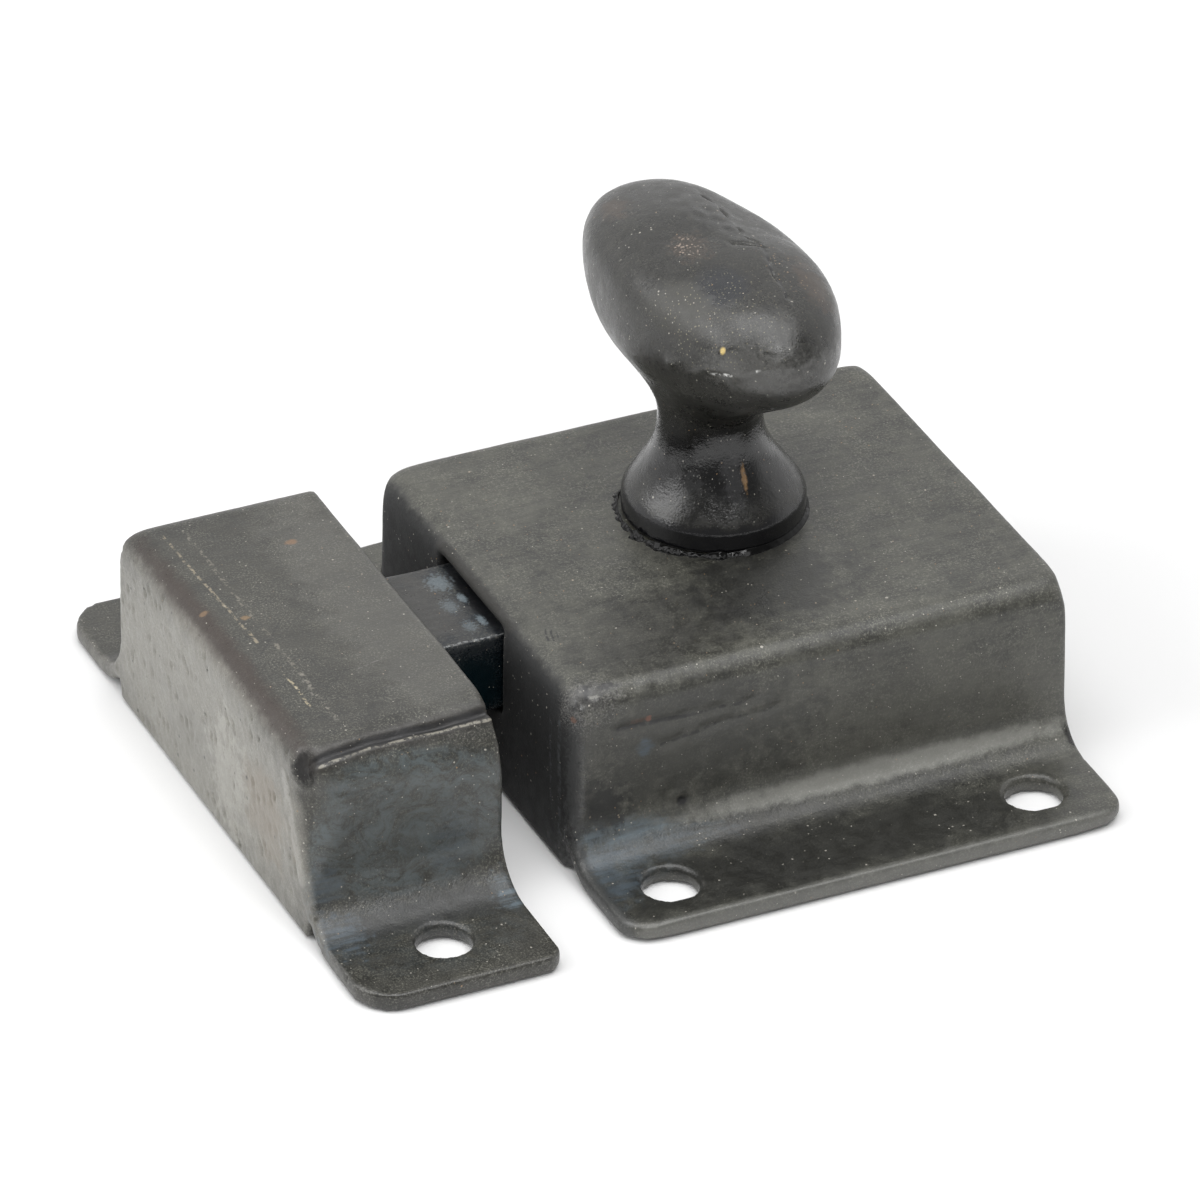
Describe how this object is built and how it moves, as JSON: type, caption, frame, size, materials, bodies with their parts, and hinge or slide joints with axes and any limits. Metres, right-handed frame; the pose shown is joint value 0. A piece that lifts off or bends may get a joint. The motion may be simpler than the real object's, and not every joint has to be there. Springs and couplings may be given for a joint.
{
  "type": "cabinet latch",
  "caption": "Surface cabinet latch: folded blackened-steel case with an oval turning knob that draws a spring bolt out of a separate box keep; flanges drilled for screws.",
  "frame": {"origin": "middle of the case on the mounting surface, between its four screw holes", "axes": "+Z away from the cupboard, bolt points to -X, keep on the -X side"},
  "size_m": [0.0757, 0.0708, 0.0477],
  "materials": {
    "blackened_sheet": "oiled and waxed black, satin, worn at the bends",
    "blackened_iron": "oiled and waxed black, satin",
    "blued_steel": "dark blue-black, satin",
    "plain_steel": "plain steel, lightly oiled"
  },
  "bodies": {
    "case_set": {"case": "blackened_sheet", "keep": "blackened_sheet", "bolt_guide": "blackened_sheet", "spring": "plain_steel", "spring_peg": "blackened_sheet"},
    "knob_set": {"knob": "blackened_iron", "spindle_washer": "plain_steel", "crank": "blued_steel", "crank_pin": "plain_steel"},
    "bolt_set": {"bolt": "blued_steel"}
  },
  "joints": [
    {"name": "knob_turn", "type": "hinge", "parent": "case_set", "child": "knob_set", "pos_m": [0.0006, 0.0031, 0.0185], "axis": [0, 0, 1], "range_deg": [0, 90]},
    {"name": "bolt_slide", "type": "slide", "parent": "case_set", "child": "bolt_set", "axis": [1, 0, 0], "range_m": [0, 0.007], "stiffness_N_per_m": 400, "springref_m": -0.01, "deforming": ["spring"]}
  ],
  "couplings": [
    {"joint": "knob_turn", "follows": "bolt_slide", "rad_per_m": 224.39}
  ]
}
